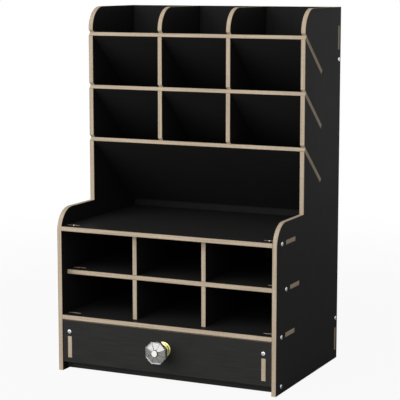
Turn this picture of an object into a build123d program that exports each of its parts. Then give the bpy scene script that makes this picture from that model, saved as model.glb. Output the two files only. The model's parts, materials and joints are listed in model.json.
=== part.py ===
"""Hobby workstation organizer: a flat-pack desk-top cabinet of thin laminated board.

Two side panels carry a desk board, a middle shelf and a cubby floor on tabs and
bolts. Three sloping shelves slide into slots that are open at the front of the
upper half, and cross-lap with two upright dividers. A drawer runs on two rails.

Millimetres. X is to the right, Y is to the rear, Z is up. The origin is the
bottom centre of the overall box, from the knob's face to the rear edges.
"""
import os
from math import cos, radians, sin, tan

from build123d import *

# ---------------------------------------------------------------- cabinet sizes
board = 6.5                # thickness of every cabinet board
width = 335.0              # over the outer faces of the side panels
depth = 236.5              # side panel, front edge to rear edge
height = 514.5             # side panel, foot to top
upper_setback = 96.6       # upper front edge behind the lower front edge
shoulder_height = 233.5    # top of the deep lower half
corner_radius = 32.0       # rounded shoulder and rounded top front corner
rear_inset = 4.8           # back panel inside the panels' rear edges
base_lift = 1.7            # rails and back panel clear of the table

# ---------------------------------------------------------------- lower half
floor_top = 81.5           # top face of the cubby floor
low_row = 56.5             # clear height of the lower row of cubbies
desk_drop = 24.8           # desk below the shoulder
front_recess = 16.0        # middle shelf and lower dividers behind the front
divider_spacing = 106.0    # between the centre planes of a pair of dividers

# ---------------------------------------------------------------- sloping shelves
slope = 39.0               # degrees down towards the back
shelf_names = ["upper_shelf_bottom", "upper_shelf_middle", "upper_shelf_top"]
desk_headroom = 11.3       # lower rear edge of the bottom sloping shelf above the desk
top_shelf_drop = 41.4      # lower front edge of the top sloping shelf below the panels' top
shelf_end_gap = 0.2        # between a shelf's rear edge and the back panel

# ---------------------------------------------------------------- tabs and slots
tab_length = 33.5          # every tab of the cabinet
tab_inset = 32.5           # first tab behind the front edge of its board
fit_gap = 0.1              # all round a tab or a lap in its slot
rear_tab_spacing = 214.0   # between the two rear tabs of a horizontal board
back_tab_low = 13.0        # lower side tab of the back panel above the table
back_tab_high = 26.7       # upper side tab of the back panel below its top
divider_tab_drop = 46.0    # upper divider's rear tab below the shelf above it

# ---------------------------------------------------------------- bolts and nuts
bolt_inset = 17.2          # bolt behind the front edge of its board
bolt_beyond_tab = 14.4     # bolt past the end of a back panel tab
screw_d = 3.0              # shank
screw_hole_gap = 0.2       # round the shank in a clearance hole
thread_gap = 0.05          # round the shank in a nut or a pilot hole
head_d = 6.0               # low pan head
head_h = 1.3
head_round = 0.9           # rounded rim of the head
recess_length = 3.4        # cross recess
recess_width = 0.8
recess_depth = 0.9
bolt_reach = 25.0          # under the head
bolt_spare = 1.5           # tee slot past the tip of the bolt
nut_width = 5.5            # square nut
nut_thickness = 2.0
nut_inset = 11.0           # nut's middle behind the end of its board
nut_gap = 0.1

# ---------------------------------------------------------------- rails
rail_height = 14.8
rail_bolt_drop = 6.3       # long screw of the front rail below the rail's top
rail_screw_reach = 11.0    # wood screws of the rear rail
rail_screw_spacing = 110.0
rail_screw_count = 3

# ---------------------------------------------------------------- drawer
drawer_side_gap = 1.25     # front and back boards to the side panels
drawer_top_gap = 1.0       # drawer front to the cubby floor
drawer_front_lap = 3.1     # drawer front hangs below the top of the rails
drawer_side_drop = 5.45    # box sides below the upper edge of the drawer front
drawer_side_inset = 7.25   # box sides inside the ends of the drawer front
drawer_run_gap = 0.05      # box sides on the rails
drawer_rear_gap = 4.0      # drawer back to the back panel
drawer_back_lift = 1.0     # drawer back above the rails
drawer_tab_lift = 3.5      # tab above the lower edge of the box side
drawer_bolt_drop = 10.7    # bolt below the upper edge of the box side
drawer_bolt_rise = 6.8     # bolt above the upper edge of the tab
bottom_thickness = 3.0     # hardboard bottom
bottom_lift = 5.0          # above the lower edge of the box side
groove_depth = 2.5
groove_gap = 0.1

# ---------------------------------------------------------------- knob
knob_drop = 26.0           # knob axis below the upper edge of the drawer front
flange_d = 22.4
flange_h = 3.0
neck_d = 14.0
neck_h = 12.0              # top of the neck, where the bowl begins to flare
bowl_d = 30.4
bowl_rim = 1.2             # straight rim of the bowl
crystal_seat = 20.4        # top of the rim, where the crystal rests
crystal_width = 31.0       # across flats
crystal_wall = 2.0         # clear wall over the setting
girdle_height = 4.8        # straight sides of the crystal
crown_height = 3.0         # eight facets in front of the girdle
crystal_table = 9.6        # across flats, where the facets end
post_d = 8.6               # post through the crystal
post_proud = 1.4           # end of the post in front of the facets
knob_screw_bite = 9.0      # screw inside the knob's base

# ---------------------------------------------------------------- worked-out places
girdle_end = crystal_seat + girdle_height
crown_end = girdle_end + crown_height
knob_reach = crown_end + post_proud
y_front = knob_reach - (depth + knob_reach) / 2
y_rear = y_front + depth
y_upper = y_front + upper_setback
y_back = y_rear - rear_inset - board          # front face of the back panel
x_out = width / 2
x_in = x_out - board
middle_bottom = floor_top + low_row
middle_top = middle_bottom + board
desk_top = shoulder_height - desk_drop
desk_bottom = desk_top - board
y_recess = y_front + front_recess
y_lap = (y_recess + y_back) / 2               # middle shelf and dividers cross here
rail_top = base_lift + rail_height
y_front_rail = y_front + bolt_inset - board / 2
y_rear_rail = y_back - board
shelf_run = (y_back - y_upper - shelf_end_gap - board * sin(radians(slope))) / cos(radians(slope))
half_run = shelf_run / 2
lowest_shelf = desk_top + desk_headroom + shelf_run * sin(radians(slope))
shelf_pitch = (height - top_shelf_drop - lowest_shelf) / (len(shelf_names) - 1)
back_tab_starts = [back_tab_low, height - back_tab_high - tab_length]
back_bolt_heights = [back_tab_low + tab_length + bolt_beyond_tab,
                     height - back_tab_high - tab_length - bolt_beyond_tab]
divider_xs = {"left": -divider_spacing / 2, "right": divider_spacing / 2}
rear_tab_xs = [-rear_tab_spacing / 2, rear_tab_spacing / 2]
decks = [(y_front, desk_top), (y_recess, middle_top), (y_front, floor_top)]

drawer_top = floor_top - board - drawer_top_gap
drawer_front_bottom = rail_top - drawer_front_lap
drawer_half = x_in - drawer_side_gap
side_x = drawer_half - drawer_side_inset - board / 2
side_bottom = rail_top + drawer_run_gap
side_top = drawer_top - drawer_side_drop
y_box_front = y_front + board
y_drawer_rear = y_back - drawer_rear_gap
y_box_rear = y_drawer_rear - board
drawer_bolt_z = side_top - drawer_bolt_drop
drawer_tab_bottom = side_bottom + drawer_tab_lift
drawer_tab_top = drawer_bolt_z - drawer_bolt_rise
bottom_z = side_bottom + bottom_lift
knob_height = drawer_top - knob_drop


# ---------------------------------------------------------------- helpers
def block(x0, x1, y0, y1, z0, z1):
    """A box from its low corner to its high corner."""
    middle = Pos((x0 + x1) / 2, (y0 + y1) / 2, (z0 + z1) / 2)
    return middle * Box(x1 - x0, y1 - y0, z1 - z0)


def joined(parts):
    """All parts fused into one shape."""
    result = parts[0]
    for part in parts[1:]:
        result = result + part
    return result


def left_of(shape):
    """The same shape on the left-hand side."""
    return mirror(shape, about=Plane.YZ)


def both(shape):
    """The shape and its left-hand twin."""
    return shape + left_of(shape)


def upright(profile, x):
    """A board whose outline is drawn in (Y, Z), centred on the plane X = x."""
    return extrude(Plane.YZ.offset(x - board / 2) * profile, amount=board)


def along_slope(level):
    """Frame of a sloping shelf: X across, Y down the slope, Z off its face."""
    rise = lowest_shelf + level * shelf_pitch
    turn = radians(slope)
    return Plane(origin=(0, y_upper, rise), x_dir=(1, 0, 0), z_dir=(0, sin(turn), cos(turn)))


def slope_strip(level, start, end, low, high):
    """A strip beside a sloping shelf, drawn in (Y, Z)."""
    rise = lowest_shelf + level * shelf_pitch
    strip = Rectangle(end - start, high - low, align=(Align.MIN, Align.MIN))
    return Pos(y_upper, rise) * Rot(0, 0, -slope) * Pos(start, low) * strip


# ---------------------------------------------------------------- fasteners
def pan_screw(seat, reach):
    """Pan-head screw under a frame whose Z points out of the board's face."""
    head = Cylinder(head_d / 2, head_h, align=(Align.CENTER, Align.CENTER, Align.MIN))
    head = fillet(head.edges().sort_by(Axis.Z)[-1], head_round)
    long_cut = Box(recess_length, recess_width, recess_depth)
    short_cut = Box(recess_width, recess_length, recess_depth)
    cross = Pos(0, 0, head_h - recess_depth / 2) * (long_cut + short_cut)
    shank = Cylinder(screw_d / 2, reach, align=(Align.CENTER, Align.CENTER, Align.MAX))
    return seat * (head - cross + shank)


def pilot_bore(seat, bite):
    """Bore for a screw's thread, beyond the board under its head."""
    radius = screw_d / 2 + thread_gap
    return seat * Pos(0, 0, -board) * Cylinder(radius, bite, align=(Align.CENTER, Align.CENTER, Align.MAX))


def clear_hole(seat):
    """Hole for a screw through one board."""
    radius = screw_d / 2 + screw_hole_gap
    return seat * Cylinder(radius, board, align=(Align.CENTER, Align.CENTER, Align.MAX))


def tee_slot(seat):
    """Slot for the bolt and its nut in the end of a board, right through it."""
    length = bolt_reach - board + bolt_spare
    wide = screw_d + 2 * screw_hole_gap
    nut_room = nut_width + 2 * nut_gap
    through = board + 2 * nut_gap
    stem = Pos(0, 0, -board - length / 2) * Box(wide, through, length)
    room = Pos(0, 0, -board - nut_inset) * Box(nut_room, through, nut_thickness + 2 * nut_gap)
    return seat * (stem + room)


def square_nut(seat):
    """Nut on a bolt, inside its tee slot."""
    nut = Box(nut_width, nut_width, nut_thickness) - Cylinder(screw_d / 2 + thread_gap, nut_thickness)
    return seat * Pos(0, 0, -board - nut_inset) * nut


def side_seat(y, z, across):
    """Bolt seat on the right-hand panel; across lies in the bolted board."""
    return Plane(origin=(x_out, y, z), x_dir=across, z_dir=(1, 0, 0))


def side_seats():
    """Seats of all six bolts of the right-hand panel."""
    return nut_seats() + [front_rail_seat()]


def nut_seats():
    """Seats of the bolts that have a nut in a tee slot."""
    seats = [side_seat(y + bolt_inset, top - board / 2, (0, 1, 0)) for y, top in decks]
    seats += [side_seat(y_back + board / 2, z, (0, 0, 1)) for z in back_bolt_heights]
    return seats


def front_rail_seat():
    """Seat of the long screw that holds an end of the front rail."""
    return side_seat(y_front + bolt_inset, rail_top - rail_bolt_drop, (0, 0, 1))


def rail_seats():
    """Seats of the rear rail's screws, on the rear face of the back panel."""
    first = -rail_screw_spacing * (rail_screw_count - 1) / 2
    xs = [first + rail_screw_spacing * i for i in range(rail_screw_count)]
    z = base_lift + rail_height / 2
    return [Plane(origin=(x, y_back + board, z), x_dir=(1, 0, 0), z_dir=(0, 1, 0)) for x in xs]


def drawer_seat(y, outward):
    """Right-hand bolt seat on the drawer's front or back board."""
    return Plane(origin=(side_x, y, drawer_bolt_z), x_dir=(0, 0, 1), z_dir=(0, outward, 0))


# ---------------------------------------------------------------- tabs of the boards
def rear_tab(x, top, gap=0.0):
    """Rear tab of a horizontal board, or with a gap the slot for it."""
    half = tab_length / 2 + gap
    return block(x - half, x + half, y_back, y_back + board, top - board - gap, top + gap)


def upright_tab(x, bottom, gap=0.0):
    """Rear tab of a divider, or with a gap the slot for it."""
    half = board / 2 + gap
    return block(x - half, x + half, y_back, y_back + board, bottom - gap, bottom + tab_length + gap)


def lower_tab_bottom():
    """Height of a lower divider's rear tab, half-way up the lower row."""
    return floor_top + (low_row - tab_length) / 2


def upper_tab_bottoms():
    """Heights of an upper divider's rear tabs, one in each closed row."""
    drop = shelf_run * sin(radians(slope))
    levels = range(1, len(shelf_names))
    return [lowest_shelf + level * shelf_pitch - drop - divider_tab_drop for level in levels]


def side_tab_slot(y, top):
    """Slot in a side panel for the tab of a horizontal board, in (Y, Z)."""
    slot = Rectangle(tab_length + 2 * fit_gap, board + 2 * fit_gap)
    return Pos(y + tab_inset + tab_length / 2, top - board / 2) * slot


def back_tab_slot(bottom):
    """Slot in a side panel for a tab of the back panel, in (Y, Z)."""
    slot = Rectangle(board + 2 * fit_gap, tab_length + 2 * fit_gap)
    return Pos(y_back + board / 2, bottom + tab_length / 2) * slot


def rounded(profile, corners):
    """The outline with the named corners rounded."""
    chosen = []
    for y, z in corners:
        chosen.append(profile.vertices().sort_by_distance((y, z, 0))[0])
    return fillet(chosen, corner_radius)


# ---------------------------------------------------------------- cabinet boards
def side_panel():
    """Right-hand panel: deep below the shoulder, shallow above it."""
    corners = [(y_front, 0), (y_rear, 0), (y_rear, height), (y_upper, height),
               (y_upper, shoulder_height), (y_front, shoulder_height)]
    profile = Polygon(*corners, align=None)
    profile = rounded(profile, [(y_upper, height), (y_front, shoulder_height)])
    for y, top in decks:
        profile = profile - side_tab_slot(y, top)
    for bottom in back_tab_starts:
        profile = profile - back_tab_slot(bottom)
    for level in range(len(shelf_names)):
        profile = profile - slope_strip(level, -board, half_run + fit_gap, -fit_gap, board + fit_gap)
    panel = upright(profile, x_out - board / 2)
    for seat in side_seats():
        panel = panel - clear_hole(seat)
    return panel


def deck(y_start, top):
    """Horizontal board with side tabs, rear tabs and a tee slot at each end."""
    bottom = top - board
    tab_start = y_start + tab_inset
    plate = block(-x_in, x_in, y_start, y_back, bottom, top)
    plate = plate + block(-x_out, x_out, tab_start, tab_start + tab_length, bottom, top)
    for x in rear_tab_xs:
        plate = plate + rear_tab(x, top)
    return plate - both(tee_slot(side_seat(y_start + bolt_inset, top - board / 2, (0, 1, 0))))


def middle_shelf():
    """Deck with a slot from the rear for each lower divider."""
    shelf = deck(y_recess, middle_top)
    half = board / 2 + fit_gap
    for x in divider_xs.values():
        shelf = shelf - block(x - half, x + half, y_lap, y_back, middle_bottom, middle_top)
    return shelf


def lower_divider(x):
    """Upright board between cubby floor and desk, slotted from the front."""
    half = board / 2
    plate = block(x - half, x + half, y_recess, y_back, floor_top, desk_bottom)
    slot = block(x - half, x + half, y_recess, y_lap + fit_gap,
                 middle_bottom - fit_gap, middle_top + fit_gap)
    return plate - slot + upright_tab(x, lower_tab_bottom())


def upper_divider(x):
    """Upright board that stands on the bottom sloping shelf."""
    turn = radians(slope)
    front_z = lowest_shelf + board / cos(turn)
    rear_z = front_z - (y_back - y_upper) * tan(turn)
    corners = [(y_upper, front_z), (y_back, rear_z), (y_back, height), (y_upper, height)]
    profile = rounded(Polygon(*corners, align=None), [(y_upper, height)])
    for level in range(1, len(shelf_names)):
        profile = profile - slope_strip(level, -board, half_run + fit_gap, -fit_gap, board + fit_gap)
    plate = upright(profile, x)
    return joined([plate] + [upright_tab(x, bottom) for bottom in upper_tab_bottoms()])


def sloping_shelf(level):
    """Shelf with ears in the panels' slots; all but the lowest cross-lap the dividers."""
    ears = Rectangle(2 * x_out, half_run, align=(Align.CENTER, Align.MIN))
    outline = ears + Rectangle(2 * x_in, shelf_run, align=(Align.CENTER, Align.MIN))
    if level:
        lap = Rectangle(board + 2 * fit_gap, half_run, align=(Align.CENTER, Align.MIN))
        for x in divider_xs.values():
            outline = outline - Pos(x, half_run) * lap
    return extrude(along_slope(level) * outline, amount=board)


def back_panel():
    """Board between the side panels, slotted for every tab that reaches it."""
    plate = block(-x_in, x_in, y_back, y_back + board, base_lift, height)
    for bottom in back_tab_starts:
        plate = plate + block(-x_out, x_out, y_back, y_back + board, bottom, bottom + tab_length)
    for z in back_bolt_heights:
        plate = plate - both(tee_slot(side_seat(y_back + board / 2, z, (0, 0, 1))))
    for _, top in decks:
        for x in rear_tab_xs:
            plate = plate - rear_tab(x, top, fit_gap)
    for x in divider_xs.values():
        for bottom in [lower_tab_bottom()] + upper_tab_bottoms():
            plate = plate - upright_tab(x, bottom, fit_gap)
    for seat in rail_seats():
        plate = plate - clear_hole(seat)
    return plate


def front_rail():
    """Rail under the front of the drawer, screwed between the side panels."""
    rail = block(-x_in, x_in, y_front_rail, y_front_rail + board, base_lift, rail_top)
    return rail - both(pilot_bore(front_rail_seat(), bolt_reach - board))


def rear_rail():
    """Rail under the rear of the drawer, screwed to the back panel."""
    rail = block(-x_in, x_in, y_rear_rail, y_back, base_lift, rail_top)
    for seat in rail_seats():
        rail = rail - pilot_bore(seat, rail_screw_reach - board)
    return rail


# ---------------------------------------------------------------- drawer boards
def side_tab_holes():
    """Slots in the drawer's front or back board for the tabs of both box sides."""
    half = board / 2 + fit_gap
    slot = block(side_x - half, side_x + half, y_front, y_drawer_rear,
                 drawer_tab_bottom - fit_gap, drawer_tab_top + fit_gap)
    return both(slot)


def bottom_groove(y0, y1):
    """Groove between the box sides for an edge of the drawer bottom."""
    half = side_x - board / 2
    return block(-half, half, y0, y1, bottom_z - groove_gap, bottom_z + bottom_thickness + groove_gap)


def knob_seat():
    """Frame on the drawer front whose Z is the knob's axis."""
    return Plane(origin=(0, y_front, knob_height), x_dir=(1, 0, 0), z_dir=(0, -1, 0))


def drawer_front():
    """Face board of the drawer."""
    plate = block(-drawer_half, drawer_half, y_front, y_box_front, drawer_front_bottom, drawer_top)
    plate = plate - side_tab_holes() - bottom_groove(y_box_front - groove_depth, y_box_front)
    return plate - both(clear_hole(drawer_seat(y_front, -1))) - clear_hole(knob_seat())


def drawer_back():
    """Rear board; its ends run along the side panels and keep the drawer straight."""
    plate = block(-drawer_half, drawer_half, y_box_rear, y_drawer_rear,
                  side_bottom + drawer_back_lift, side_top)
    plate = plate - side_tab_holes() - bottom_groove(y_box_rear, y_box_rear + groove_depth)
    return plate - both(clear_hole(drawer_seat(y_drawer_rear, 1)))


def drawer_side():
    """Right-hand box side, tabbed through the front and back boards."""
    low = side_x - board / 2
    high = side_x + board / 2
    plate = block(low, high, y_box_front, y_box_rear, side_bottom, side_top)
    plate = plate + block(low, high, y_front, y_drawer_rear, drawer_tab_bottom, drawer_tab_top)
    groove = block(low, low + groove_depth, y_box_front, y_box_rear,
                   bottom_z - groove_gap, bottom_z + bottom_thickness + groove_gap)
    return plate - groove - tee_slot(drawer_seat(y_front, -1)) - tee_slot(drawer_seat(y_drawer_rear, 1))


def drawer_bottom():
    """Thin bottom held in grooves on all four sides."""
    inner = side_x - board / 2
    reach = groove_depth - groove_gap
    top = bottom_z + bottom_thickness
    wide = block(-inner - reach, inner + reach, y_box_front + groove_gap, y_box_rear - groove_gap, bottom_z, top)
    lips = block(-inner + groove_gap, inner - groove_gap, y_box_front - reach, y_box_rear + reach, bottom_z, top)
    return wide + lips


# ---------------------------------------------------------------- knob
def octagon(across):
    """Octagon with flats at its top, bottom and sides."""
    return Rot(0, 0, 22.5) * RegularPolygon(across / 2, 8, major_radius=False)


def crown(across, low, gap=0.0):
    """Eight facets from an octagon towards the post; all crowns have the same slope."""
    share = (across - crystal_table) / (crystal_width - crystal_table)
    profiles = [Pos(0, 0, low) * octagon(across + 2 * gap),
                Pos(0, 0, low + crown_height * share) * octagon(crystal_table + 2 * gap)]
    return loft(profiles, ruled=True)


def setting(gap=0.0):
    """Octagon in the bowl that fills the crystal from behind, or with a gap its hollow."""
    across = crystal_width - 2 * crystal_wall
    straight = girdle_height - crystal_wall + gap
    prism = Pos(0, 0, crystal_seat) * extrude(octagon(across + 2 * gap), amount=straight)
    return prism + crown(across, crystal_seat + straight, gap)


def knob_crystal():
    """Cut crystal: a clear wall with straight sides and eight facets, over the setting."""
    girdle = Pos(0, 0, crystal_seat) * extrude(octagon(crystal_width), amount=girdle_height)
    bore = Cylinder(post_d / 2 + fit_gap, knob_reach, align=(Align.CENTER, Align.CENTER, Align.MIN))
    return knob_seat() * (girdle + crown(crystal_width, girdle_end) - setting(fit_gap) - bore)


def knob_base():
    """Metal base: round flange, neck, bowl with the setting, and the post through the crystal."""
    flange = Cylinder(flange_d / 2, flange_h, align=(Align.CENTER, Align.CENTER, Align.MIN))
    flange = fillet(flange.edges().sort_by(Axis.Z)[-1], flange_h / 2)
    neck = Cylinder(neck_d / 2, neck_h, align=(Align.CENTER, Align.CENTER, Align.MIN))
    flare = crystal_seat - bowl_rim - neck_h
    bowl = Pos(0, 0, neck_h + flare / 2) * Cone(neck_d / 2, bowl_d / 2, flare)
    rim = Pos(0, 0, crystal_seat - bowl_rim / 2) * Cylinder(bowl_d / 2, bowl_rim)
    post = Cylinder(post_d / 2, knob_reach, align=(Align.CENTER, Align.CENTER, Align.MIN))
    bore = Cylinder(screw_d / 2 + thread_gap, knob_screw_bite + bolt_spare,
                    align=(Align.CENTER, Align.CENTER, Align.MIN))
    return knob_seat() * (joined([flange, neck, bowl, rim, setting(), post]) - bore)


def knob_screw():
    """Screw from inside the drawer into the knob's base."""
    inside = Plane(origin=(0, y_box_front, knob_height), x_dir=(1, 0, 0), z_dir=(0, 1, 0))
    return pan_screw(inside, board + knob_screw_bite)


# ---------------------------------------------------------------- all pieces
def fastener_group(maker, seats):
    """One node of separate fasteners."""
    return Compound(children=[maker(seat) for seat in seats])


def bolt(seat):
    """Cabinet or drawer bolt."""
    return pan_screw(seat, bolt_reach)


def rail_screw(seat):
    """Short screw of the rear rail."""
    return pan_screw(seat, rail_screw_reach)


def drawer_seats(y, outward):
    """Both bolt seats on the drawer's front or back board."""
    right = drawer_seat(y, outward)
    left = Plane(origin=(-side_x, y, drawer_bolt_z), x_dir=(0, 0, 1), z_dir=(0, outward, 0))
    return [left, right]


def all_pieces():
    """Every sub-part by its node name."""
    pieces = {
        "right_side_panel": side_panel(),
        "back_panel": back_panel(),
        "desk_board": deck(y_front, desk_top),
        "middle_shelf": middle_shelf(),
        "cubby_floor": deck(y_front, floor_top),
        "front_base_rail": front_rail(),
        "rear_base_rail": rear_rail(),
        "drawer_front": drawer_front(),
        "drawer_back": drawer_back(),
        "drawer_side_right": drawer_side(),
        "drawer_bottom": drawer_bottom(),
        "knob_crystal": knob_crystal(),
        "knob_base": knob_base(),
        "knob_screw": knob_screw(),
        "side_bolts_right": fastener_group(bolt, side_seats()),
        "side_nuts_right": fastener_group(square_nut, nut_seats()),
        "rear_rail_screws": fastener_group(rail_screw, rail_seats()),
        "drawer_front_bolts": fastener_group(bolt, drawer_seats(y_front, -1)),
        "drawer_back_bolts": fastener_group(bolt, drawer_seats(y_drawer_rear, 1)),
        "drawer_nuts": fastener_group(square_nut, drawer_seats(y_front, -1) + drawer_seats(y_drawer_rear, 1)),
    }
    for name in ["side_panel", "side_bolts", "side_nuts"]:
        right = f"right_{name}" if name == "side_panel" else f"{name}_right"
        pieces[right.replace("right", "left")] = left_of(pieces[right])
    pieces["drawer_side_left"] = left_of(pieces["drawer_side_right"])
    for side, x in divider_xs.items():
        pieces[f"lower_divider_{side}"] = lower_divider(x)
        pieces[f"upper_divider_{side}"] = upper_divider(x)
    for level, name in enumerate(shelf_names):
        pieces[name] = sloping_shelf(level)
    return pieces


os.makedirs("parts", exist_ok=True)
for node, shape in all_pieces().items():
    export_step(shape, f"parts/{node}.step")
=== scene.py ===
# %% [markdown]
# # Dressing a flat-pack hobby organizer
#
# The real thing is a desk-top cabinet of thin black laminated fibreboard. Its boards are cut by a
# machine, so every edge shows the raw tan board. The CAD model already has each board at its real
# size, with its tabs, slots and screw holes. This lesson gives those boards their finish, and
# models the small hardware again with the detail that a camera sees: screws, nuts and a crystal
# knob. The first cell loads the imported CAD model. Lengths are metres, and MM turns millimetres
# into them.

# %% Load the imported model
import json
import math

import bpy
from mathutils import Matrix, Vector

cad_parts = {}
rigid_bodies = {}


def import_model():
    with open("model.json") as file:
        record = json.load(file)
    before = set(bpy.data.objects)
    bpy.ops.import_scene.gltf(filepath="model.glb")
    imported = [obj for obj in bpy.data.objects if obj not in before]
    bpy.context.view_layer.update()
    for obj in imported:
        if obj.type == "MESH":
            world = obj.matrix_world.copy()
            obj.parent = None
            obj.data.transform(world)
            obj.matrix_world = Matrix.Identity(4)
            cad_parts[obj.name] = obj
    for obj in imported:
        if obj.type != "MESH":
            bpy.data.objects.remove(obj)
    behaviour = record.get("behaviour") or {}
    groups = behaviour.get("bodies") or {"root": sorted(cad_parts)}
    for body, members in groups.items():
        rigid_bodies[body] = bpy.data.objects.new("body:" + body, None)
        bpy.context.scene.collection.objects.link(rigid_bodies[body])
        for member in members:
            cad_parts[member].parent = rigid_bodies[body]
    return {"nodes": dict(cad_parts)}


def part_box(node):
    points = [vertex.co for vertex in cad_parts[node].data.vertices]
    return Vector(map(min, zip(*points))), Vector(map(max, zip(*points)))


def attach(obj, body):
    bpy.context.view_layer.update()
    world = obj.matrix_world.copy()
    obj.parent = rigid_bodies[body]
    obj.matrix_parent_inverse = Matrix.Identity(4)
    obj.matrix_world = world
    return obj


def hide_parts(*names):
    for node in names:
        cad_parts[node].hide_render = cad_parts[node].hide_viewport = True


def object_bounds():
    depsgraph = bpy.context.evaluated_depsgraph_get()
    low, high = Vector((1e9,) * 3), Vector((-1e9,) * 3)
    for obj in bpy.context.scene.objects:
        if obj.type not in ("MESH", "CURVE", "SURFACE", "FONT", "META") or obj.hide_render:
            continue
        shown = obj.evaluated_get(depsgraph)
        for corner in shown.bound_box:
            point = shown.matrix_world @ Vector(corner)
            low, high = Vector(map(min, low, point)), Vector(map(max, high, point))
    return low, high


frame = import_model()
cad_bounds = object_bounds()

MM = 0.001

# %% [markdown]
# ## Selecting by place
#
# Operators act on whatever is selected, so each step first makes one piece the only selected and
# active object. By hand, its faces and edges would then be clicked. A script picks them by their
# place or direction instead, which stays true however often it is run.

# %% Selecting
hair, near = 0.01 * MM, 0.1 * MM  # how exactly a place has to match when something is picked by it


def work_on(piece):
    """Makes this piece the only selected and the active object."""
    if bpy.context.mode != "OBJECT":
        bpy.ops.object.mode_set(mode="OBJECT")
    bpy.ops.object.select_all(action="DESELECT")
    piece.select_set(True)
    bpy.context.view_layer.objects.active = piece


def pick(piece, kind, wanted):
    """Opens edit mode with those corners, edges or faces selected for which wanted is true."""
    work_on(piece)
    mesh = piece.data
    for group in (mesh.vertices, mesh.edges, mesh.polygons):
        for item in group:
            item.select = False
    chosen = {"VERT": mesh.vertices, "EDGE": mesh.edges, "FACE": mesh.polygons}[kind]
    for item in chosen:
        item.select = bool(wanted(item))
    bpy.ops.object.mode_set(mode="EDIT")
    bpy.ops.mesh.select_mode(type=kind)


def everything(item):
    """For pick: takes every corner, edge or face."""
    return True


def edge_middle(piece, edge):
    """Middle point of an edge."""
    first, second = (piece.data.vertices[index].co for index in edge.vertices)
    return (first + second) / 2


def done():
    """Leaves edit mode."""
    bpy.ops.object.mode_set(mode="OBJECT")


# %% [markdown]
# ## Modifiers and booleans
#
# A modifier shapes a piece and leaves its mesh alone until it is applied. Here each one is applied
# at once, because the finished pieces are plain meshes. Bores and recesses could be modelled face
# by face, but a boolean with another solid is simpler. It can leave corners on top of each other,
# so a weld follows where that happens.

# %% Modifiers
merge_distance = 0.002 * MM


def apply_modifier(piece, kind, **settings):
    """Adds a modifier with these settings and applies it at once."""
    work_on(piece)
    modifier = piece.modifiers.new(kind.lower(), kind)
    for key, value in settings.items():
        setattr(modifier, key, value)
    bpy.ops.object.modifier_apply(modifier=modifier.name)


def cut_away(piece, cutter, overlapping=False):
    """Takes the cutter's solid out of the piece and deletes the cutter."""
    apply_modifier(piece, "BOOLEAN", operation="DIFFERENCE", object=cutter, solver="EXACT",
                   use_self=overlapping)
    bpy.data.objects.remove(cutter)


def weld(piece):
    """Merges corners that a boolean or a bevel left on top of each other."""
    pick(piece, "VERT", everything)
    bpy.ops.mesh.remove_doubles(threshold=merge_distance)
    bpy.ops.mesh.dissolve_degenerate(threshold=merge_distance)
    done()


# %% [markdown]
# ## Writing materials as sums
#
# A procedural material is mostly arithmetic on noise. Joining Math nodes by hand is slow to read
# and to change. One small class wraps a node's output, so that the arithmetic is written as
# Python.

# %% One wire
class Wire:
    """The output of a shader node. Sums on it add Math nodes."""

    def __init__(self, finish, socket):
        self.finish = finish
        self.socket = socket

    def calc(self, operation, first, second):
        return self.finish.node("ShaderNodeMath", {"operation": operation}, {0: first, 1: second})

    def __add__(self, other):
        return self.calc("ADD", self, other)

    def __radd__(self, other):
        return self.calc("ADD", other, self)

    def __sub__(self, other):
        return self.calc("SUBTRACT", self, other)

    def __rsub__(self, other):
        return self.calc("SUBTRACT", other, self)

    def __mul__(self, other):
        return self.calc("MULTIPLY", self, other)

    def __rmul__(self, other):
        return self.calc("MULTIPLY", other, self)

    def __abs__(self):
        return self.calc("ABSOLUTE", self, 0.0)


# %% [markdown]
# Every other node comes from one method, node. A few named steps on top of it keep the finishes
# below short: noise, a soft threshold, a colour between two colours, and relief. What is the same
# all over a surface needs no node, so it is set on the shader itself.

# %% One material
class Finish:
    """A material that is being wired up around one Principled shader."""

    def __init__(self, name, **constants):
        self.material = bpy.data.materials.new(name)
        self.material.use_nodes = True
        self.tree = self.material.node_tree
        self.shader = self.tree.nodes["Principled BSDF"]
        for socket, value in constants.items():
            self.shader.inputs[socket.replace("_", " ")].default_value = value

    def node(self, kind, settings, sockets, out=0):
        """Adds a node: its settings first, then the values or wires of its sockets."""
        made = self.tree.nodes.new(kind)
        for key, value in settings.items():
            setattr(made, key, value)
        for key, value in sockets.items():
            if isinstance(value, Wire):
                self.tree.links.new(value.socket, made.inputs[key])
            else:
                made.inputs[key].default_value = value
        return Wire(self, made.outputs[out])

    def feed(self, socket, wire):
        """Joins a wire to a socket of the Principled shader."""
        self.tree.links.new(wire.socket, self.shader.inputs[socket])

    def noise(self, place, scale, detail=3.0, roughness=0.5):
        """Smooth noise with about scale bumps to the metre."""
        return self.node(
            "ShaderNodeTexNoise", {},
            {"Vector": place, "Scale": scale, "Detail": detail, "Roughness": roughness})

    def between(self, wire, low, high):
        """0 below low, 1 above high and a ramp in between."""
        return self.node("ShaderNodeMapRange", {"interpolation_type": "SMOOTHSTEP"},
                         {"Value": wire, "From Min": low, "From Max": high})

    def blend(self, share, first, second):
        """A colour between two colours."""
        return self.node("ShaderNodeMix", {"data_type": "RGBA"},
                         {0: share, 6: first, 7: second}, out=2)

    def stretched(self, scale, uv):
        """Places on a UV map, or with uv None the piece's own coordinates, stretched by scale."""
        if uv:
            place = self.node("ShaderNodeUVMap", {"uv_map": uv}, {})
        else:
            place = self.node("ShaderNodeTexCoord", {}, {}, out=3)
        return self.node("ShaderNodeMapping", {}, {"Vector": place, "Scale": scale})

    def bump(self, height, distance, strength):
        """Relief of the surface, distance metres deep."""
        relief = self.node("ShaderNodeBump", {},
                           {"Height": height, "Distance": distance, "Strength": strength})
        self.feed("Normal", relief)


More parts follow.
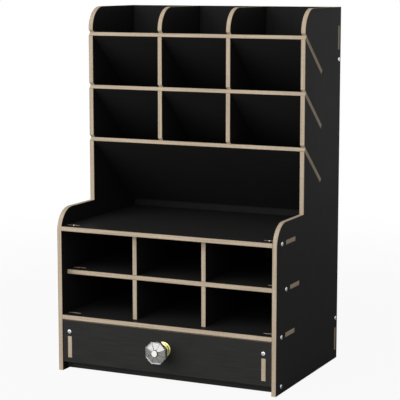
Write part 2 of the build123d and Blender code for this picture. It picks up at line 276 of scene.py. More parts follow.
# %% [markdown]
# ## The black laminate
#
# The faces of the boards are a thin printed film with a faint wood grain pressed into it: satin
# black, a little rougher where it has been handled. The grain follows each board, so it reads a UV
# map that is drawn on the board below, with V along the grain. The outer faces of the cabinet
# take a lighter copy of the film, painted light, and the faces inside it a darker copy, painted
# shade for their dim insides. A mask could tell the two apart, but two materials from one
# function are the simplest way to say so.

# %% Black laminate
film_dark, film_bright = (0.0170, 0.0170, 0.0175), (0.0440, 0.0435, 0.0420)
along_grain, short_pores, even = (1, 0.03, 1), (1, 0.10, 1), (1, 1, 1)


def black_laminate(name, lightness):
    """The printed film. Lightness scales both of its shades, which paints light and shade into the
    two copies.
    """
    finish = Finish(name, Specular_IOR_Level=0.012)
    streaks = finish.noise(finish.stretched(along_grain, "grain"), 700, detail=4, roughness=0.6)
    pores = finish.noise(finish.stretched(short_pores, "grain"), 2200, detail=2)
    handled = finish.noise(finish.stretched(even, "grain"), 14, detail=3)
    peel = finish.noise(finish.stretched(even, "grain"), 2600, detail=1)
    pits = finish.between(pores, 0.58, 0.70)
    dark, bright = ([lightness * part for part in colour] + [1]
                    for colour in (film_dark, film_bright))
    finish.feed("Base Color", finish.blend(streaks, dark, bright))
    finish.feed("Roughness", 0.34 + 0.12 * handled + 0.10 * pits)
    finish.bump(streaks * 0.6 + peel * 0.25 - pits * 0.35, 0.03 * MM, 0.6)
    return finish.material


# The lighter copy paints light on the outer faces, and the darker copy paints shade on the faces
# inside the cabinet.
laminate_painted_lit = black_laminate("laminate_painted_lit", 1.07)
laminate_painted_shade = black_laminate("laminate_painted_shade", 0.62)
print("films:", laminate_painted_lit.name, laminate_painted_shade.name)

# %% [markdown]
# ## The raw edge
#
# Medium-density fibreboard is a felt of fine wood fibres, laid and pressed in layers, and packed
# harder and darker near both faces. On a cut edge the layers show as thin lines along the board,
# and the cutter leaves faint marks across it. A plain tan would look like plastic. On an edge the
# UV map runs with U through the board and V along it, so both kinds of line are noise stretched
# one way or the other. An attribute of the mesh also runs through the board, from 0 at one face to
# 1 at the other, which places the darker skins at both ends of it.

# %% Raw fibreboard
across_edge, along_edge = (0.04, 1, 1), (1, 0.015, 1)
fibre_dark, fibre_bright = (0.305, 0.228, 0.155, 1), (0.65, 0.545, 0.412, 1)


def raw_fibreboard():
    """The cut edge of the board."""
    finish = Finish("raw_fibreboard", Specular_IOR_Level=0.25)
    through = finish.node("ShaderNodeAttribute", {"attribute_name": "through"}, {}, out=2)
    fibres = finish.noise(finish.stretched(even, None), 1500, detail=4, roughness=0.65)
    clumps = finish.noise(finish.stretched(even, None), 260, detail=3)
    tool_marks = finish.noise(finish.stretched(across_edge, "grain"), 1600, detail=2)
    layers = finish.noise(finish.stretched(along_edge, "grain"), 850, detail=3)
    skin = finish.between(abs(through - 0.5), 0.34, 0.50)
    shade = fibres * 0.30 + clumps * 0.12 + tool_marks * 0.15 + layers * 0.5 - skin * 0.22
    finish.feed("Base Color",
                finish.blend(finish.between(shade, 0.25, 0.75), fibre_dark, fibre_bright))
    finish.feed("Roughness", 0.78 + 0.12 * clumps)
    finish.bump(fibres * 0.5 + tool_marks * 0.5, 0.05 * MM, 0.5)
    return finish.material


raw_edge = raw_fibreboard()
print("edge:", raw_edge.name)

# %% [markdown]
# ## From CAD board to finished board
#
# The CAD boards have the right shape, but they are loose triangles with razor-sharp corners. A
# copy is merged and its flat faces are joined again. Then a very small bevel rounds the edges, as
# a quick pass with sandpaper does. Modelling the boards anew would risk their fit, and a wider
# bevel would open their joints. Weighted normals keep the broad faces flat beside the tiny round
# corners.

# %% Merging and softening
corner_break = 0.25 * MM
flat_within, sharp_above, smooth_below = math.radians(0.3), math.radians(30), math.radians(35)
print("corners are rounded by", corner_break / MM, "mm")


def merged_copy(node, name):
    """A copy of a CAD piece with its corners merged and its flat faces whole."""
    mesh = frame["nodes"][node].data.copy()
    mesh.materials.clear()
    piece = bpy.data.objects.new(name, mesh)
    bpy.context.scene.collection.objects.link(piece)
    pick(piece, "VERT", everything)
    bpy.ops.mesh.customdata_custom_splitnormals_clear()
    bpy.ops.mesh.remove_doubles(threshold=merge_distance)
    bpy.ops.mesh.dissolve_limited(angle_limit=flat_within)
    done()
    return piece


def soften(piece, width):
    """Small rounded corners, and shading that keeps the broad faces flat."""
    apply_modifier(piece, "BEVEL", width=width, segments=2, limit_method="ANGLE",
                   angle_limit=sharp_above, use_clamp_overlap=True)
    work_on(piece)
    bpy.ops.object.shade_smooth_by_angle(angle=smooth_below)
    apply_modifier(piece, "WEIGHTED_NORMAL", keep_sharp=True, weight=80)


# %% [markdown]
# ## Which way the grain runs
#
# The film is printed along the length of a board. Unwrapping by hand would let the grain turn from
# board to board, so the UV map is worked out: a broad face is laid flat with V along the grain,
# and an edge with V along the edge. UVs are in metres, so one scale of noise suits every board.

# %% Grain
def broad_direction(piece):
    """The direction that most of the board's surface faces."""
    area = {}
    for face in piece.data.polygons:
        key = tuple(round(abs(value), 2) for value in face.normal)
        area[key] = area.get(key, 0.0) + face.area
    return Vector(max(area, key=area.get)).normalized()


def draw_grain(piece, across, grain, offset):
    """UV map with V along the grain, and how far through the board each corner lies."""
    mesh = piece.data
    heights = [vertex.co.dot(across) for vertex in mesh.vertices]
    low, high = min(heights), max(heights)
    through = mesh.attributes.new("through", "FLOAT", "POINT")
    for vertex, height in zip(mesh.vertices, heights):
        through.data[vertex.index].value = (height - low) / (high - low)
    layer = mesh.uv_layers.new(name="grain")
    side = across.cross(grain)
    for face in mesh.polygons:
        broad = abs(face.normal.dot(across)) > 0.9
        face.material_index = 0 if broad else 1
        along = grain if broad else across.cross(face.normal)
        sideways = side if broad else across
        for loop in face.loop_indices:
            place = mesh.vertices[mesh.loops[loop].vertex_index].co
            layer.data[loop].uv = (place.dot(sideways) + offset, place.dot(along) + offset)


# %% [markdown]
# ## Dressing the boards
#
# Every board gets the same treatment, so one function does it. Its broad faces take the film: the
# lighter copy, painted light, where they face away from the middle of the cabinet, and the darker
# copy, painted shade, elsewhere. Everything else is raw edge. A step in the UV map from board to
# board keeps any two from looking alike. The finished piece then rides on the board's body and
# stands for it.

# %% Dressing a board
outer_boards = (
    "left_side_panel", "right_side_panel", "back_panel", "drawer_front", "front_base_rail")
board_materials = (laminate_painted_lit, raw_edge, laminate_painted_shade)
painted_lit_film = board_materials.index(laminate_painted_lit)
painted_shade_film = board_materials.index(laminate_painted_shade)
cabinet_middle = (cad_bounds[0] + cad_bounds[1]) / 2
grain_step = 0.173
print("middle of the cabinet:", tuple(round(value, 3) for value in cabinet_middle))


def settle(piece, body, slot, *nodes):
    """Puts a finished piece on its body, in place of its CAD nodes."""
    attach(piece, body)
    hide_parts(*nodes)


def finish_board(node, body, grain, number):
    """Dresses one CAD board and shows it in the board's place."""
    piece = merged_copy(node, node + "_laminated")
    across = broad_direction(piece)
    soften(piece, corner_break)
    draw_grain(piece, across, grain, grain_step * number)
    for material in board_materials:
        piece.data.materials.append(material)
    for face in piece.data.polygons:
        # Outward faces of the outer boards keep the lighter copy, painted light; every other broad
        # face takes the darker copy, painted shade.
        outside = node in outer_boards and face.normal.dot(face.center - cabinet_middle) > 0
        if face.material_index == painted_lit_film and not outside:
            face.material_index = painted_shade_film
    settle(piece, body, "black_board", node)
    return piece


# %% [markdown]
# ## All the boards
#
# The side panels, the dividers and the back have upright grain. Shelves, rails and the drawer
# front have it from side to side, and the drawer's own sides from front to back. One call for each
# board would do, but a table of names and directions is easier to check against the real cabinet.

# %% Boards of the cabinet and the drawer
upright, crosswise, front_to_back = Vector((0, 0, 1)), Vector((1, 0, 0)), Vector((0, 1, 0))
boards = {
    "cabinet": {
        "left_side_panel": upright, "right_side_panel": upright, "back_panel": upright,
        "lower_divider_left": upright, "lower_divider_right": upright,
        "upper_divider_left": upright, "upper_divider_right": upright,
        "desk_board": crosswise, "middle_shelf": crosswise, "cubby_floor": crosswise,
        "upper_shelf_top": crosswise, "upper_shelf_middle": crosswise,
        "upper_shelf_bottom": crosswise,
        "front_base_rail": crosswise, "rear_base_rail": crosswise},
    "drawer": {
        "drawer_front": crosswise, "drawer_back": crosswise,
        "drawer_side_left": front_to_back, "drawer_side_right": front_to_back},
}
number = 0
for body, grains in boards.items():
    for node, grain in grains.items():
        piece = finish_board(node, body, grain, number)
        number += 1
        print(piece.name, len(piece.data.polygons), "faces")

# %% [markdown]
# ## The hardboard bottom of the drawer
#
# Thin hardboard is pressed brown fibre: smooth and slightly shiny on its good side, with the print
# of a wire screen on the other. The screen is only a relief, so two crossed waves in the bump do
# what thousands of modelled dents would.

# %% Brown hardboard
hardboard_dark, hardboard_bright = (0.085, 0.048, 0.026, 1), (0.235, 0.140, 0.078, 1)


def brown_hardboard(name, screen):
    """Hardboard from its good side, or with the print of the screen."""
    finish = Finish(name, Specular_IOR_Level=0.4)
    fibres = finish.noise(finish.stretched((1, 0.35, 1), "grain"), 900, detail=5, roughness=0.6)
    clouds = finish.noise(finish.stretched(even, "grain"), 40, detail=3)
    shade = fibres * 0.6 + clouds * 0.4
    finish.feed("Base Color", finish.blend(shade, hardboard_dark, hardboard_bright))
    finish.feed("Roughness", (0.62 if screen else 0.40) + 0.15 * clouds)
    relief = fibres * 0.3
    if screen:
        for direction in ("X", "Y"):
            wires = finish.node("ShaderNodeTexWave", {"bands_direction": direction},
                                {"Vector": finish.stretched(even, "grain"), "Scale": 180.0})
            relief = relief + wires * 0.5
    finish.bump(relief, (0.25 if screen else 0.04) * MM, 0.7)
    return finish.material


# %% Drawer bottom
tray = merged_copy("drawer_bottom", "drawer_bottom_hardboard")
soften(tray, corner_break)
draw_grain(tray, upright, crosswise, 0.0)
tray.data.materials.append(brown_hardboard("hardboard_smooth", False))
tray.data.materials.append(brown_hardboard("hardboard_screen", True))
for face in tray.data.polygons:
    face.material_index = 0 if face.normal.z > 0.9 else 1
settle(tray, "drawer", "brown_hardboard", "drawer_bottom")
print(tray.name, len(tray.data.polygons), "faces")

# %% [markdown]
# ## Plated metal
#
# Machine screws with pan heads join the boards to square nuts that sit in tee slots. Zinc plate is
# bright, with a very faint brushed unevenness. The recess of a head gets a dark steel of its own,
# painted shade for the deep recess: drawing that shade in one material would need a map of the
# head.

# %% Plated steel
def metal(name, dark, bright, roughness, scale):
    """Polished or plated metal, between two shades, with scale fine marks to the metre."""
    finish = Finish(name, Metallic=1.0)
    fine = finish.noise(finish.stretched(even, None), scale, detail=4)
    cloud = finish.noise(finish.stretched(even, None), scale / 12, detail=2)
    finish.feed("Base Color", finish.blend(cloud, dark, bright))
    finish.feed("Roughness", roughness + 0.12 * cloud + 0.06 * fine)
    finish.bump(fine, 0.01 * MM, 0.4)
    return finish.material


steel = metal("zinc_plate", (0.70, 0.71, 0.72, 1), (0.90, 0.90, 0.91, 1), 0.18, 4200)
# A dark copy of the zinc: painted shade for the insides of the recesses.
recess_painted_shade_steel = metal("painted_shade_zinc", (0.06, 0.06, 0.06, 1), (0.16, 0.16, 0.16, 1), 0.45, 4200)
print("steel:", steel.name, recess_painted_shade_steel.name)

# %% [markdown]
# ## The recess of a screw
#
# The head has a cross recess that narrows towards its bottom. Insets on a round face would never
# meet in a clean cross, so a tapered blade is made from a cube, copied a quarter turn round, and
# both are cut out of the head.

# %% Recess
head_radius, head_height, head_rim = 3.0 * MM, 1.3 * MM, 0.9 * MM
recess_length, recess_width, recess_depth = 3.4 * MM, 0.8 * MM, 0.9 * MM
recess_taper = (0.42, 0.8, 1)
print("screw head:", round(2 * head_radius / MM, 1), "mm across")


def recess_cutter():
    """Two tapered blades that cross, for the recess."""
    bpy.ops.mesh.primitive_cube_add(size=1)
    blade = bpy.context.active_object
    pick(blade, "VERT", everything)
    bpy.ops.transform.resize(value=(recess_length, recess_width, 2 * recess_depth))
    done()
    pick(blade, "VERT", lambda vertex: vertex.co.z < 0)
    bpy.ops.transform.resize(value=recess_taper)
    bpy.ops.mesh.select_all(action="SELECT")
    bpy.ops.transform.translate(value=(0, 0, head_height))
    bpy.ops.mesh.duplicate()
    bpy.ops.transform.rotate(value=math.pi / 2, orient_axis="Z", center_override=(0, 0, 0))
    done()
    return blade


# %% [markdown]
# ## The thread
#
# A thread is one tooth of its outline, carried round and along. A Screw modifier does just that,
# and it needs only three points. The ends of the winding are open, so they are filled afterwards.

# %% Thread
screw_radius, thread_depth, thread_pitch = 1.5 * MM, 0.28 * MM, 0.5 * MM
steps_round, thread_merge = 14, 0.001 * MM
print("thread:", round(2 * screw_radius / MM, 1), "mm with a pitch of", thread_pitch / MM, "mm")


def screw_thread(reach):
    """A threaded shank below the origin, closed at both ends."""
    bpy.ops.mesh.primitive_plane_add(size=1)
    shank = bpy.context.active_object
    pick(shank, "VERT", lambda vertex: vertex.index > 0)
    bpy.ops.mesh.delete(type="VERT")
    done()
    shank.data.vertices[0].co = (screw_radius - thread_depth, 0, 0)
    pick(shank, "VERT", everything)
    for step in (thread_depth, -thread_depth):
        bpy.ops.mesh.extrude_region_move(
            TRANSFORM_OT_translate={"value": (step, 0, thread_pitch / 2)})
    done()
    apply_modifier(shank, "SCREW", axis="Z", angle=2 * math.pi, screw_offset=thread_pitch,
                   iterations=int(reach / thread_pitch) - 1, steps=steps_round,
                   render_steps=steps_round, use_merge_vertices=True, merge_threshold=thread_merge)
    pick(shank, "VERT", everything)
    bpy.ops.mesh.remove_doubles(threshold=thread_merge)
    bpy.ops.mesh.select_all(action="DESELECT")
    bpy.ops.mesh.select_non_manifold()
    bpy.ops.mesh.fill_holes(sides=0)
    bpy.ops.mesh.select_all(action="SELECT")
    bpy.ops.mesh.normals_make_consistent(inside=False)
    bpy.ops.transform.translate(value=(0, 0, -reach))
    done()
    return shank


# %% [markdown]
# ## The whole screw
#
# The head is a cylinder with a rounded rim. The recess is cut while the head is still simple, and
# the faces inside it are found by their place and take the dark steel, painted shade for the
# recess. A plain collar joins head and thread, the three solids become one, and a weld cleans the
# seams.

# %% Screw with a pan head
collar_radius, collar_length, collar_middle = screw_radius - thread_depth * 0.8, 3 * MM, -1 * MM
smooth_on_screws = math.radians(40)


def in_recess(face):
    """True for a face of the cross recess."""
    across = math.hypot(face.center.x, face.center.y)
    return across < recess_length / 2 and 0 < face.center.z < head_height - 2 * hair


def pan_screw(name, reach):
    """Screw whose head sits on the plane Z = 0, with its shank below."""
    bpy.ops.mesh.primitive_cylinder_add(vertices=48, radius=head_radius, depth=head_height,
                                        location=(0, 0, head_height / 2))
    screw = bpy.context.active_object
    screw.name = name
    bpy.ops.object.transform_apply(location=True)
    pick(screw, "EDGE", lambda edge: edge_middle(screw, edge).z > head_height - hair)
    bpy.ops.mesh.bevel(offset=head_rim, segments=5, profile=0.55, affect="EDGES")
    done()
    cut_away(screw, recess_cutter(), overlapping=True)
    screw.data.materials.append(steel)
    screw.data.materials.append(recess_painted_shade_steel)
    for face in screw.data.polygons:
        # Faces inside the recess take the dark steel, which paints their shade.
        face.material_index = 1 if in_recess(face) else 0
    bpy.ops.mesh.primitive_cylinder_add(vertices=28, radius=collar_radius, depth=collar_length,
                                        location=(0, 0, collar_middle))
    collar = bpy.context.active_object
    bpy.ops.object.transform_apply(location=True)
    for part in (collar, screw_thread(reach)):
        apply_modifier(screw, "BOOLEAN", operation="UNION", object=part, solver="EXACT")
        bpy.data.objects.remove(part)
    weld(screw)
    work_on(screw)
    bpy.ops.object.shade_smooth_by_angle(angle=smooth_on_screws)
    return screw


# %% [markdown]
# ## The square nut
#
# A square nut is a flat block with rounded upright corners, eased edges and a bore. The corners
# are rounded before the bore is cut, so that the bevel can't reach its rim.

# %% Square nut
nut_width, nut_thickness, nut_bore = 5.5 * MM, 2.0 * MM, 1.55 * MM
nut_corner, nut_edge = 0.35 * MM, 0.2 * MM


def square_nut(name):
    """Nut centred on the origin, with its bore along Z."""
    bpy.ops.mesh.primitive_cube_add(size=1)
    nut = bpy.context.active_object
    nut.name = name
    pick(nut, "VERT", everything)
    bpy.ops.transform.resize(value=(nut_width, nut_width, nut_thickness))
    done()
    pick(nut, "EDGE", lambda edge: abs(edge_middle(nut, edge).z) < near)
    bpy.ops.mesh.bevel(offset=nut_corner, segments=3, affect="EDGES")
    done()
    bpy.ops.mesh.primitive_cylinder_add(vertices=32, radius=nut_bore, depth=2 * nut_thickness)
    cut_away(nut, bpy.context.active_object)
    soften(nut, nut_edge)
    weld(nut)
    nut.data.materials.append(steel)
    return nut


# %% [markdown]
# ## Where the hardware goes
#
# Typing in the place of every screw would repeat the CAD model, and could disagree with it.
# Instead each CAD group of screws or nuts is taken apart into its loose solids, and their boxes
# are measured.

# %% Measuring the CAD hardware
def separate_boxes(node):
    """Lowest and highest corner of every loose part of a CAD node."""
    group = merged_copy(node, node + "_measured")
    pick(group, "FACE", everything)
    bpy.ops.mesh.separate(type="LOOSE")
    done()
    parts = [part for part in bpy.data.objects if part.name.startswith(node + "_measured")]
    found = []
    for part in parts:
        places = [vertex.co for vertex in part.data.vertices]
        low = Vector(min(place[i] for place in places) for i in range(3))
        high = Vector(max(place[i] for place in places) for i in range(3))
        found.append((low, high))
        bpy.data.objects.remove(part)
    return sorted(found, key=lambda box: tuple(box[0]))


def length_along(box, outward):
    """Length of a box in the direction outward."""
    low, high = box
    return (high - low).dot(Vector(abs(value) for value in outward))


def seats(node, outward):
    """Where the heads of a node's screws sit on their board."""
    return [((low + high) / 2 + outward * (length_along((low, high), outward) / 2 - head_height),
             outward) for low, high in separate_boxes(node)]


# %% [markdown]
# ## Placing the copies
#
# One master screw or nut is copied to every place and turned to face outward. Each copy is also
# turned a little further about its own axis, because no two real screws stop at the same angle.
# The copies of one CAD node are joined, so that one piece stands for it.

# %% Placing the copies
turn_between_heads = 0.9


def placed_copies(master, name, places):
    """One piece with a copy of the master at each place, turned so that its Z follows outward."""
    copies = []
    for count, (place, outward) in enumerate(places):
        copy = bpy.data.objects.new(f"{name}_{count}", master.data.copy())
        bpy.context.scene.collection.objects.link(copy)
        facing = outward.to_track_quat("Z", "Y").to_matrix().to_4x4()
        driven = Matrix.Rotation(turn_between_heads * count, 4, "Z")
        copy.data.transform(Matrix.Translation(place) @ (facing @ driven))
        copies.append(copy)
    work_on(copies[0])
    for copy in copies[1:]:
        copy.select_set(True)
    if len(copies) > 1:
        bpy.ops.object.join()
    copies[0].name = name
    return copies[0]


# %% [markdown]
# ## The screws in place
#
# Screws go through both side panels, through the back into the rear rail, through the drawer's
# front and back, and into the knob. Their length under the head is measured on the CAD screws, and
# a master is modelled once for each length. A thread that is stretched to fit would show a wrong
# pitch.

# %% Screws
screw_groups = {
    "side_bolts_left": ("cabinet", -crosswise), "side_bolts_right": ("cabinet", crosswise),
    "rear_rail_screws": ("cabinet", front_to_back),
    "drawer_front_bolts": ("drawer", -front_to_back),
    "drawer_back_bolts": ("drawer", front_to_back),
    "knob_screw": ("drawer", front_to_back),
}
masters = {}
for node, (body, outward) in screw_groups.items():
    reach = round(length_along(separate_boxes(node)[0], outward) - head_height, 4)
    if reach not in masters:
        masters[reach] = pan_screw(f"screw_{reach}", reach)
    piece = placed_copies(masters[reach], node + "_steel", seats(node, outward))
    settle(piece, body, "plated_steel", node)
    print(piece.name, "reach", reach, "faces", len(piece.data.polygons))
for master in masters.values():
    bpy.data.objects.remove(master)

# %% [markdown]
# ## The nuts in place
#
# A nut lies in its tee slot with its bore along the screw. It is thinner that way than it is wide,
# so the measured box alone tells which way it has to face, and nothing more is typed in than its
# body.

# %% Nuts
nut_groups = {"side_nuts_left": "cabinet", "side_nuts_right": "cabinet", "drawer_nuts": "drawer"}
nut = square_nut("nut_master")
for node, body in nut_groups.items():
    boxes = separate_boxes(node)
    size = boxes[0][1] - boxes[0][0]
    axis = crosswise if size.x < size.y else front_to_back
    piece = placed_copies(nut, node + "_steel", [((low + high) / 2, axis) for low, high in boxes])
    settle(piece, body, "plated_steel", node)
    print(piece.name, "faces", len(piece.data.polygons))
bpy.data.objects.remove(nut)

# %% [markdown]
# ## The knob
#
# An eight-sided crystal sits over a silvered setting in a bowl of pale brass, and a post through
# its middle ends in a pale cap. The cap is metal and mirrors its surroundings, but its near-white
# colour is a painted highlight, standing for the brass end lit to cream. Bowl and crystal are each
# one outline carried along an axis, ring by ring: a circle for the bowl, an octagon for the
# crystal. A Spin would do for the bowl alone, but extruding and scaling a ring does for both, and
# it leaves the crystal's facets perfectly flat.

# %% Rings along an axis
def drawn_out(name, sides, rings, turn=0.0):
    """A closed solid whose section is a regular polygon: one ring for each (radius, height)."""
    radius, height = rings[0]
    bpy.ops.mesh.primitive_circle_add(vertices=sides, radius=radius, fill_type="NGON",
                                      location=(0, 0, height))
    solid = bpy.context.active_object
    solid.name = name
    bpy.ops.object.transform_apply(location=True)
    pick(solid, "FACE", everything)
    bpy.ops.transform.rotate(value=turn, orient_axis="Z", center_override=(0, 0, 0))
    for (old_radius, old_height), (radius, height) in zip(rings, rings[1:]):
        bpy.ops.mesh.extrude_region_move(
            TRANSFORM_OT_translate={"value": (0, 0, height - old_height)})
        factor = radius / old_radius
        bpy.ops.transform.resize(value=(factor, factor, 1), center_override=(0, 0, height))
    bpy.ops.mesh.select_all(action="SELECT")
    bpy.ops.mesh.normals_make_consistent(inside=False)
    done()
    return solid


# %% [markdown]
# ## The knob's axis
#
# The knob is drawn standing on Z = 0 and then laid over, so that it stands out from the drawer
# front. That is simpler than drawing it sideways. Where it goes, and how far out crystal and post
# reach, come from the boxes of the CAD pieces, so it sits on the drawer without any fitting by
# eye.

# %% Knob's axis, from the CAD pieces
base_low, base_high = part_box("knob_base")
crystal_low, crystal_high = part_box("knob_crystal")
knob_middle = Vector((0, base_high.y, (base_low.z + base_high.z) / 2))
knob_turn = Matrix.Translation(knob_middle) @ Matrix.Rotation(math.pi / 2, 4, "X")
crystal_seat = base_high.y - crystal_high.y
crystal_front = base_high.y - crystal_low.y
post_end = base_high.y - base_low.y
print("crystal from", round(crystal_seat, 4), "to", round(crystal_front, 4),
      "before the drawer front")

# %% [markdown]
# ## The brass base
#
# From the drawer outwards the base is a round flange, a slim neck with a bead, a bowl that opens
# under the crystal, a sloping setting inside the crystal's hollow, and the post. The outline is
# given in those parts, each a few rings. The end of the post shows in front of the crystal as the
# cap, whose near-white colour is a painted highlight.

# %% Outline of the base
flange_radius, neck_radius, post_radius = 11.2 * MM, 7.0 * MM, 4.3 * MM
bowl_radius, setting_radius = (base_high.x - base_low.x) / 2, 13.3 * MM
setting_edge, setting_top = crystal_seat + 2.7 * MM, crystal_seat + 5.1 * MM
under_crystal, post_rounding = crystal_seat - 0.02 * MM, 0.3 * MM
flange = [
    (flange_radius - 0.5 * MM, 0.0), (flange_radius, 0.4 * MM), (flange_radius, 0.8 * MM),
    (flange_radius - 0.3 * MM, 1.5 * MM)]
shoulder = [(10.2 * MM, 2.1 * MM), (9.4 * MM, 2.4 * MM), (7.7 * MM, 2.6 * MM), (7.2 * MM, 3.0 * MM)]
neck = [(neck_radius, 3.8 * MM), (neck_radius, 10.0 * MM)]
bead = [(7.5 * MM, 10.4 * MM), (7.5 * MM, 11.2 * MM), (7.1 * MM, 11.6 * MM)]
bowl = [
    (7.3 * MM, 12.2 * MM), (9.3 * MM, 13.6 * MM), (12.6 * MM, 16.4 * MM), (14.9 * MM, 19.0 * MM),
    (bowl_radius, 19.6 * MM), (bowl_radius, under_crystal)]
setting = [(setting_radius, under_crystal), (setting_radius, setting_edge)]
post = [
    (post_radius, setting_top), (post_radius, post_end - post_rounding),
    (post_radius - post_rounding, post_end)]
base_rings = flange + shoulder + neck + bead + bowl + setting + post
print("rings of the base:", len(base_rings))

# %% Pale brass base
brass = metal("pale_brass", (0.68, 0.63, 0.24, 1), (0.86, 0.81, 0.38, 1), 0.06, 3000)
# The cap's near-white colour is a painted highlight of the lit brass end; as metal it still mirrors
# its surroundings.
cap_painted_highlight = metal("cap_painted_highlight", (0.94, 0.92, 0.84, 1), (0.97, 0.95, 0.89, 1), 0.32, 3000)
screw_bore, bore_depth = 1.55 * MM, 10.5 * MM
base = drawn_out("knob_base_brass", 72, base_rings)
bpy.ops.mesh.primitive_cylinder_add(vertices=32, radius=screw_bore, depth=2 * bore_depth)
cut_away(base, bpy.context.active_object)
base.data.materials.append(brass)
base.data.materials.append(cap_painted_highlight)
# Faces beyond the crystal's front are the cap and take the painted highlight.
for face in base.data.polygons:
    face.material_index = 1 if face.center.z > crystal_front else 0
base.data.transform(knob_turn)
work_on(base)
bpy.ops.object.shade_smooth_by_angle(angle=smooth_below)
settle(base, "drawer", "polished_brass", "knob_base")
print(base.name, len(base.data.polygons), "faces")

# %% [markdown]
# ## The crystal
#
# The crystal is clear glass, cut with a flat front and eight sloping facets. It is hollow behind,
# and the hollow's faces have the same slopes as the facets. Glass needs true thickness to bend
# light, so the hollow and the hole for the post are cut out as solids. A narrow bevel on the
# hollow's slanted edges makes the strips that take the painted shade of the dark spokes.

# %% Crystal
to_corner = 1 / math.cos(math.pi / 8)
girdle, front_facet = (crystal_high.x - crystal_low.x) / 2, 4.8 * MM
wall, crown, gap = 2.0 * MM, 3.0 * MM, 0.1 * MM
girdle_end = crystal_front - crown
hollow = girdle - wall + gap
hollow_edge = girdle_end - wall + gap
hollow_top = hollow_edge + crown * (hollow - front_facet) / (girdle - front_facet)
slant_middle = (hollow_edge + hollow_top) / 2
spoke_strip_width, facet_edge = 0.35 * MM, 0.12 * MM


def octagonal(name, rings):
    """An eight-sided solid: one (distance of its sides from the axis, height) for each ring."""
    return drawn_out(name, 8, [(flat * to_corner, height) for flat, height in rings],
                     turn=math.pi / 8)


crystal = octagonal("knob_crystal_cut", [
    (girdle, crystal_seat), (girdle, girdle_end), (front_facet, crystal_front)])
inside = octagonal("crystal_hollow", [
    (hollow, crystal_seat - 1 * MM), (hollow, hollow_edge), (front_facet, hollow_top)])
pick(inside, "EDGE", lambda edge: abs(edge_middle(inside, edge).z - slant_middle) < near)
bpy.ops.mesh.bevel(offset=spoke_strip_width, segments=1, affect="EDGES")
done()
cut_away(crystal, inside)
bpy.ops.mesh.primitive_cylinder_add(vertices=72, radius=post_radius + gap, depth=2 * post_end)
cut_away(crystal, bpy.context.active_object)
apply_modifier(crystal, "BEVEL", width=facet_edge, segments=1, limit_method="ANGLE",
               angle_limit=math.radians(20))
print(crystal.name, len(crystal.data.polygons), "facets")

# %% [markdown]
# ## The silvering
#
# The sparkle of such a knob comes from a mirror behind the glass. As the silver has the slopes of
# the facets in front of it, each facet shows its own part of the surroundings: the upper ones the
# lamp, the lower ones the floor. The silver is old and dim. Along its edges a dark, dull coat is
# painted shade, which draws dark spokes between the facets. It is a coat on the crystal's inner
# faces, so those faces simply take another material: a face that looks back or inwards is
# silvered, and one halfway between two facets is a spoke.

# %% Silvering inside the crystal
silver = metal("silvering", (0.20, 0.20, 0.20, 1), (0.29, 0.28, 0.28, 1), 0.03, 3000)
# The dark, dull coat on the edge strips is painted shade for the dark spokes.
spoke_shade_coat = metal("painted_spoke_shade", (0.05, 0.05, 0.05, 1), (0.09, 0.09, 0.09, 1), 0.30, 3000)
glass = Finish("clear_crystal", Transmission_Weight=1.0, IOR=1.52, Roughness=0.0,
               Base_Color=(0.97, 0.985, 0.98, 1))
looks_back, looks_straight_back, spoke_angles = -0.2, -0.9, (15, 30)
for material in (glass.material, silver, spoke_shade_coat):
    crystal.data.materials.append(material)
for face in crystal.data.polygons:
    outward = Vector((face.center.x, face.center.y, 0))
    backed = face.normal.z < looks_back or face.normal.dot(outward) < 0
    sector = math.degrees(math.atan2(face.normal.y, face.normal.x)) % 45
    spoke = (face.normal.z < looks_straight_back and face.center.z > hollow_edge
             and spoke_angles[0] < sector < spoke_angles[1])
    # Spoke faces take the painted shade, backed faces the silver, and the rest stays clear glass.
    face.material_index = 2 if spoke else 1 if backed else 0
crystal.data.transform(knob_turn)
settle(crystal, "drawer", "clear_crystal", "knob_crystal")
print("silvered facets:", sum(face.material_index == 1 for face in crystal.data.polygons),
      "painted spoke shade:", sum(face.material_index == 2 for face in crystal.data.polygons))

# %% [markdown]
# ## The floor
#
# A white floor under a white sky gives an empty, pale background. The floor itself is a mid grey,
# so that it doesn't throw too much light up into the cubbies. The camera sees it almost as plain
# white: a trace of the real floor is left near the cabinet, and with it the soft shadow there.
# Gloss sees the floor as white ahead of the cabinet and far away, which brightens the lower half
# of the knob and the screws, and as dim close by, where the cabinet shades it. A floor that lamps
# light up to white would do the same, but they would burn out every pale edge as well.

# %% Floor
bpy.ops.mesh.primitive_plane_add(size=12)
floor = bpy.context.active_object
floor.name = "floor"
white = Finish("white_floor", Roughness=0.9, Specular_IOR_Level=0.0,
               Base_Color=(0.45, 0.45, 0.45, 1))
white_nearby, gloss_nearby = 0.93, 0.06
shadow_fades, gloss_returns, gloss_ahead = (0.5, 1.6), (0.4, 4.2), (0.15, 0.5)


def rays(finish, kind):
    """1 for rays of this kind."""
    return finish.node("ShaderNodeLightPath", {}, {}, out=f"Is {kind} Ray")


def either(finish, first, second):
    """The larger of two values."""
    return finish.node("ShaderNodeMath", {"operation": "MAXIMUM"}, {0: first, 1: second})


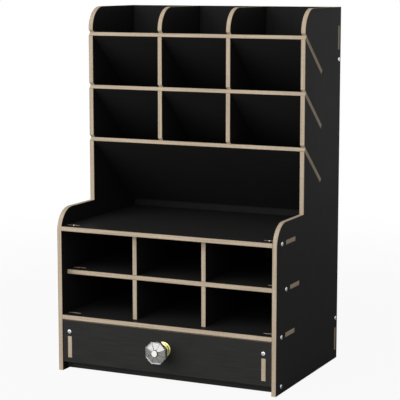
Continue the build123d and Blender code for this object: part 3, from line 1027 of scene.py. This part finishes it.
spot = white.stretched(even, None)
from_middle = white.node("ShaderNodeVectorMath", {"operation": "LENGTH"}, {0: spot}, out=1)
ahead = white.node("ShaderNodeSeparateXYZ", {}, {0: spot}, out=1) * -1.0
in_picture = either(white, rays(white, "Camera"), rays(white, "Transmission"))
in_picture = in_picture * (
    white_nearby + (1 - white_nearby) * white.between(from_middle, *shadow_fades))
seen_in_gloss = either(
    white, gloss_nearby + (1 - gloss_nearby) * white.between(from_middle, *gloss_returns),
    white.between(ahead, *gloss_ahead))
share = either(white, in_picture, rays(white, "Glossy") * seen_in_gloss)
glow = white.node("ShaderNodeEmission", {}, {"Color": (1, 1, 1, 1), "Strength": 1.0})
mixed = white.node("ShaderNodeMixShader", {},
                   {0: share, 1: Wire(white, white.shader.outputs[0]), 2: glow})
white.tree.links.new(mixed.socket, white.tree.nodes["Material Output"].inputs["Surface"])
floor.data.materials.append(white.material)
print("floor of", round(floor.dimensions.x), "metres, white from", shadow_fades[1], "metres on")

# %% [markdown]
# ## The sky
#
# The world lights the cabinet evenly but weakly, which leaves its insides dark. Camera, gloss and
# glass see it as full white, so the background stays empty and the bright metal has something to
# mirror. The Light Path node tells these rays apart, as on the floor.

# %% Sky
skylight = 0.26
world = bpy.data.worlds.new("studio")
world.use_nodes = True
bpy.context.scene.world = world
background = world.node_tree.nodes["Background"]
background.inputs["Color"].default_value = (1, 1, 1, 1)


class Sky(Finish):
    """The world's nodes, wired in the same way as a material."""

    def __init__(self, tree):
        self.tree = tree


sky = Sky(world.node_tree)
plain_white = either(sky, rays(sky, "Camera"),
                     either(sky, rays(sky, "Glossy"), rays(sky, "Transmission")))
strength = skylight + (1 - skylight) * plain_white
sky.tree.links.new(strength.socket, background.inputs["Strength"])
print("sky as a lamp:", skylight, "of its white")

# %% [markdown]
# ## The lamp
#
# One large soft box stands in front of the cabinet, to the left and above. It lights the front and
# leaves the right side darker. Its size keeps shadows soft, and its reflection is the highlight on
# every screw head: several small lamps would show as several dots there. Azimuth 0 is straight
# ahead of the cabinet, and grows towards its right side.

# %% Lamp
lamp_aim = Vector((0, 0, 0.15))


def direction_of(azimuth, elevation):
    """Unit vector from the cabinet towards these angles, in degrees."""
    side, lift = math.radians(azimuth), math.radians(elevation)
    return Vector((math.sin(side) * math.cos(lift), -math.cos(side) * math.cos(lift),
                   math.sin(lift)))


def soft_box(name, azimuth, elevation, distance, width, height, brightness):
    """A rectangular lamp that faces the cabinet; brightness 1 would look as white as the sky."""
    lamp = bpy.data.lights.new(name, "AREA")
    lamp.shape = "RECTANGLE"
    lamp.size, lamp.size_y = width, height
    lamp.energy = brightness * math.pi * width * height
    holder = bpy.data.objects.new(name, lamp)
    bpy.context.scene.collection.objects.link(holder)
    towards = direction_of(azimuth, elevation)
    holder.location = lamp_aim + distance * towards
    holder.rotation_euler = towards.to_track_quat("Z", "Y").to_euler()
    print(name, "at", tuple(round(value, 2) for value in holder.location))


soft_box("front_left_box", azimuth=-24, elevation=28, distance=2.6, width=4.2, height=2.9,
         brightness=2.1)

# %% [markdown]
# ## The camera
#
# The picture shows the cabinet turned by about 25 degrees and from slightly above. Its upright
# edges stay nearly parallel, which means a long lens from about two metres away. The camera is
# placed by those two angles and its distance from the point that it aims at, because a turn or a
# step back can then be changed alone.

# %% Camera
panel_low, panel_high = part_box("right_side_panel")
aim_sideways, aim_height = -0.0001, 0.24045
aim = Vector((aim_sideways, (panel_low.y + panel_high.y) / 2, aim_height))
camera_azimuth, camera_elevation, camera_distance, lens = 25.136, 8.5, 2.1465, 134.78
camera = bpy.data.objects.new("camera", bpy.data.cameras.new("camera"))
bpy.context.scene.collection.objects.link(camera)
direction = direction_of(camera_azimuth, camera_elevation)
camera.location = aim + camera_distance * direction
camera.rotation_euler = (-direction).to_track_quat("-Z", "Y").to_euler()
camera.data.sensor_width = 36
camera.data.lens = lens
bpy.context.scene.camera = camera
bpy.context.scene.view_settings.view_transform = "Standard"
print("camera at", tuple(round(value, 3) for value in camera.location))
